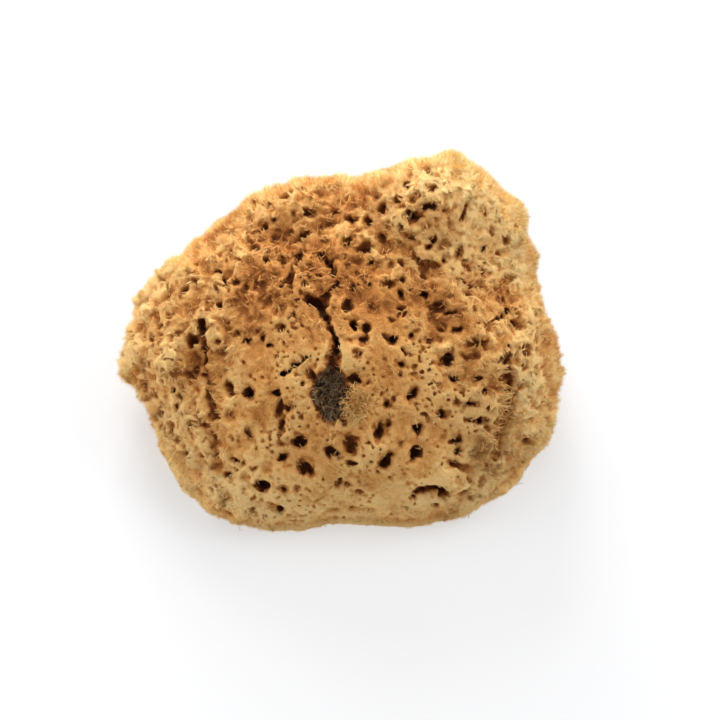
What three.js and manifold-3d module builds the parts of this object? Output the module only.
// A dried bath sponge, cut flat underneath, as one solid: the skeleton that a honeycomb sponge leaves.
// Millimetres, +Z up. The sponge stands on its cut face at z = 0, with its leaning face towards -Y.
import * as THREE from "three";
import { mergeVertices } from "three/addons/utils/BufferGeometryUtils.js";
import Module from "manifold-3d";

const wasm = await Module();
wasm.setup();

// The living sponge swelled into lobes that grew together. Each lobe is an ellipsoid: its middle and its radii.
const LOBES = [
  { at: [2, -2, 12], radii: [58, 54, 52] }, // the main dome
  { at: [33, 33, 27], radii: [37, 30, 48] }, // the tall lobe at the back right
  { at: [-30, 8, 15], radii: [40, 38, 40] }, // left shoulder
  { at: [-8, 36, 22], radii: [38, 25, 39] }, // back
  { at: [-24, -30, 6], radii: [33, 33, 28] }, // front left of the foot
  { at: [24, -30, 6], radii: [36, 31, 31] }, // front right of the foot
  { at: [48, -8, 17], radii: [29, 37, 40] }, // right flank
  { at: [-48, -2, 24], radii: [27, 26, 22] }, // the bulge that overhangs on the left
  { at: [-42, -20, 15], radii: [24, 26, 22] }, // below that bulge
];
const LOBE_BLEND = 5; // how far two lobes melt into each other
const SWELL = { height: 1.1, lengths: [8.2, 7.4, 6.9], phases: [0.6, 1.9, 2.7] };
const HEART = new THREE.Vector3(0, 0, 15); // every point of the outside can be seen from here
const OUTER_DETAIL = 11; // subdivisions of the outside's starting icosahedron
const REACH = 130; // more than the distance from the heart to any point of the outside
const HALVINGS = 28;

// Openings are placed on the face that leans back by this much from upright: across it, and up it.
const FACE_LEAN = THREE.MathUtils.degToRad(55);
const FACE_MIDDLE = new THREE.Vector3(0, -3, 27);
const ACROSS = new THREE.Vector3(1, 0, 0);
const UP_FACE = new THREE.Vector3(0, Math.sin(FACE_LEAN), Math.cos(FACE_LEAN));
const OUT_OF_FACE = new THREE.Vector3(0, -Math.cos(FACE_LEAN), Math.sin(FACE_LEAN));

// [across, up, half width, half length, turn in degrees, depth]
const FACE_OPENINGS = [
  // round channel mouths of the lower face
  [-32, -16.5, 1.9, 2.6, 10, 18],
  [-14.5, -33.5, 2.4, 2.4, 0, 16],
  [-12, -42.5, 2.8, 2.8, 0, 9],
  [-20, -38.5, 1.6, 1.6, 0, 12],
  [-27, -48.8, 3.3, 2.3, 0, 14],
  [-19.5, -50, 2.2, 1.5, -20, 8],
  [-31.5, -31, 1.6, 2.2, 10, 6],
  [13, -30, 2.0, 2.9, 0, 18],
  [26.3, -29, 1.9, 1.6, 30, 12],
  [26, -36.5, 2.4, 2.8, 0, 15],
  [15, -41, 2.2, 3.0, -25, 12],
  [24.5, -17, 1.8, 2.9, -35, 10],
  [34.5, -24, 1.7, 1.4, 0, 8],
  // round channel mouths of the upper face
  [28.3, 18.5, 2.2, 2.2, 0, 18],
  [20.5, 18, 1.5, 2.6, 25, 16],
  [37, 11.5, 2.7, 1.2, 15, 10],
  [5.5, 7, 3.4, 2.6, -20, 8],
  [7.8, 2, 2.2, 1.8, 0, 7],
  [18.5, 2.2, 2.1, 1.8, 0, 12],
  [31, 36, 1.8, 1.8, 0, 9],
  [2.2, 36.5, 2.2, 2.4, 0, 6],
  [43, 46, 1.8, 4.8, -15, 7],
  [-21.5, 12, 1.9, 1.8, 0, 9],
  [-30, 22, 2.2, 2.4, 0, 4],
  [56.5, 16.8, 2.4, 1.1, 0, 7],
  // the left flank
  [-64, 7, 2.2, 1.8, -20, 5],
  [-53, -10, 2.5, 2.8, 0, 7],
  [-57, -17, 1.2, 3.2, 45, 8],
  [-36, 4, 3.2, 2.4, 0, 6],
  [-31, 3, 4.0, 1.8, 20, 9],
  [-44, -42.5, 4.8, 3.2, 0, 6],
  [-39.5, -45.5, 2.3, 1.6, 0, 9],
  [-48, 2, 1.3, 8.0, 7, 9],
  [-46.5, -12, 1.4, 8.5, 10, 8],
  // the dark hollow in the middle, and the cracks that lead to it
  [-3, -19, 7.5, 7.0, 0, 6],
  [5, -11.5, 3.0, 2.2, -15, 9],
  [-4.5, -4, 2.2, 6.0, -25, 9],
  [-4.5, 9, 1.6, 6.5, 20, 9],
  [-9, 14.5, 2.6, 1.8, 15, 11],
  [-4.5, 22, 1.7, 8.5, 15, 8],
  [3.2, -35, 3.4, 4.6, 10, 10],
  [-4, -37, 2.2, 2.0, -20, 8],
  [-22, -20.5, 2.4, 6.5, 12, 6],
  [-15.5, -7.5, 1.3, 5.5, -55, 8],
  // the torn right flank
  [35.5, -5.5, 2.8, 2.6, 0, 9],
  [38, -11.5, 2.2, 1.8, 0, 8],
  [57.5, -17, 1.7, 10, -4, 7],
  [56.5, -4.5, 4.2, 1.1, 15, 6],
  [55, 11, 6.4, 1.3, 24, 6],
  [39.5, -33, 2.6, 1.8, 10, 8],
  [38.5, -40.5, 2.2, 2.0, 0, 8],
  [63.5, -27.5, 3.2, 1.7, 8, 5],
  [31.5, -52, 7.2, 1.9, 12, 9],
  // the undercut just above the foot
  [-3, -59, 2.7, 1.4, 0, 8],
  [5, -58.7, 3.4, 1.4, 0, 8],
];

// Channels that the cut laid open underneath: [x, y, radius, depth]
const CUT_CHANNELS = [
  [-38, -18, 3.2, 12],
  [-22, 22, 2.6, 10],
  [-14, -34, 2.8, 11],
  [-44, 14, 2.4, 9],
  [-6, 42, 3.0, 10],
  [12, 26, 2.4, 12],
  [20, -22, 3.0, 12],
  [30, 44, 2.8, 9],
  [38, 8, 3.2, 12],
  [46, -24, 2.6, 9],
  [-28, -2, 2.2, 8],
  [6, -44, 2.4, 8],
];

// Round channel mouths are scattered evenly over the back and the sides: a spiral of directions from the heart,
// less those that meet the leaning face or the foot. Mouth i has a radius between the two below.
const BACK_MOUTHS = { turns: 64, narrow: 1.6, wide: 3.0, depth: 9, faceLimit: 0.35, lowest: 0.12 };
const GOLDEN_ANGLE = Math.PI * (3 - Math.sqrt(5));
const SIZE_STEP = 0.618; // the radius runs through its range by this share from one mouth to the next

// Below zero inside the sponge's outside, in millimetres or nearly so.
function outside(point) {
  let near = 0;
  for (const { at, radii } of LOBES) {
    const q = [0, 1, 2].map((i) => (point.getComponent(i) - at[i]) / radii[i]);
    const level = Math.hypot(...q);
    const steepness = Math.hypot(...q.map((v, i) => v / radii[i])) || 1;
    near += Math.exp((-level * (level - 1)) / steepness / LOBE_BLEND);
  }
  const wave = SWELL.lengths.map((length, i) => Math.sin(point.getComponent(i) / length + SWELL.phases[i]));
  return -LOBE_BLEND * Math.log(near) - SWELL.height * wave[0] * wave[1] * wave[2];
}

// The last point inside on the way from one point along a direction.
function lastInside(from, along, reach) {
  let inside = 0;
  let beyond = reach;
  for (let i = 0; i < HALVINGS; i++) {
    const middle = (inside + beyond) / 2;
    if (outside(from.clone().addScaledVector(along, middle)) < 0) inside = middle;
    else beyond = middle;
  }
  return from.clone().addScaledVector(along, inside);
}

function outwards(point) {
  const step = 0.5;
  const slope = [0, 1, 2].map((i) => {
    const ahead = point.clone().setComponent(i, point.getComponent(i) + step);
    const behind = point.clone().setComponent(i, point.getComponent(i) - step);
    return outside(ahead) - outside(behind);
  });
  return new THREE.Vector3(...slope).normalize();
}

function solidFrom(geometry) {
  const bare = geometry.clone();
  bare.deleteAttribute("normal");
  bare.deleteAttribute("uv");
  const merged = mergeVertices(bare, 1e-4);
  return new wasm.Manifold(
    new wasm.Mesh({
      numProp: 3,
      vertProperties: merged.attributes.position.array,
      triVerts: new Uint32Array(merged.index.array),
    }),
  );
}

function geometryFrom(solid) {
  const { vertProperties, triVerts } = solid.getMesh();
  const geometry = new THREE.BufferGeometry()
    .setAttribute("position", new THREE.BufferAttribute(new Float32Array(vertProperties), 3))
    .setIndex(new THREE.BufferAttribute(new Uint32Array(triVerts), 1));
  geometry.computeVertexNormals();
  return geometry;
}

// The lobed outside, cut off flat where the sponge was taken from its rock.
function cutDome() {
  const geometry = new THREE.IcosahedronGeometry(1, OUTER_DETAIL);
  const places = geometry.attributes.position;
  for (let i = 0; i < places.count; i++) {
    const along = new THREE.Vector3().fromBufferAttribute(places, i).normalize();
    const place = lastInside(HEART, along, REACH);
    places.setXYZ(i, place.x, place.y, place.z);
  }
  const above = new THREE.BoxGeometry(2 * REACH, 2 * REACH, REACH).translate(0, 0, REACH / 2);
  return solidFrom(geometry).intersect(solidFrom(above));
}

// A channel is a long ellipsoid that starts at the outside and runs inwards along -Z of its own frame.
function channel(place, out, halfWidth, halfLength, turn, depth) {
  const side = ACROSS.clone().addScaledVector(out, -ACROSS.dot(out)).normalize();
  const frame = new THREE.Matrix4()
    .makeBasis(side, out.clone().cross(side), out)
    .setPosition(place)
    .multiply(new THREE.Matrix4().makeRotationZ(THREE.MathUtils.degToRad(turn)))
    .scale(new THREE.Vector3(halfWidth, halfLength, depth));
  return new THREE.IcosahedronGeometry(1, 1).applyMatrix4(frame);
}

function faceOpening([across, up, halfWidth, halfLength, turn, depth]) {
  const onFace = FACE_MIDDLE.clone().addScaledVector(ACROSS, across).addScaledVector(UP_FACE, up);
  const place = lastInside(onFace, OUT_OF_FACE, REACH);
  const out = outwards(place).add(OUT_OF_FACE).normalize();
  return channel(place, out, halfWidth, halfLength, turn, depth);
}

function backMouths() {
  const { turns, narrow, wide, depth, faceLimit, lowest } = BACK_MOUTHS;
  const mouths = [];
  for (let i = 0; i < turns; i++) {
    const height = 1 - (2 * i + 1) / turns;
    const ring = Math.sqrt(1 - height * height);
    const along = new THREE.Vector3(ring * Math.cos(i * GOLDEN_ANGLE), ring * Math.sin(i * GOLDEN_ANGLE), height);
    if (height < lowest || along.dot(OUT_OF_FACE) > faceLimit) continue;
    const place = lastInside(HEART, along, REACH);
    const radius = narrow + (wide - narrow) * ((i * SIZE_STEP) % 1);
    mouths.push(channel(place, outwards(place), radius, radius, 0, depth));
  }
  return mouths;
}

function cutChannel([x, y, radius, depth]) {
  return channel(new THREE.Vector3(x, y, 0), new THREE.Vector3(0, 0, -1), radius, radius, 0, depth);
}

// The origin is the middle of the box that holds the sponge, at the height of the cut.
function centred(geometry) {
  geometry.computeBoundingBox();
  const { min, max } = geometry.boundingBox;
  return geometry.translate(-(min.x + max.x) / 2, -(min.y + max.y) / 2, 0);
}

let body = cutDome();
for (const hole of [...FACE_OPENINGS.map(faceOpening), ...backMouths(), ...CUT_CHANNELS.map(cutChannel)]) {
  body = body.subtract(solidFrom(hole));
}

const spongin = new THREE.MeshStandardMaterial({ color: 0xc4924f, roughness: 0.95, metalness: 0 });
const sponge = new THREE.Mesh(centred(geometryFrom(body)), spongin);
sponge.name = "sponge";

const part = new THREE.Group();
part.add(sponge);
export default part;
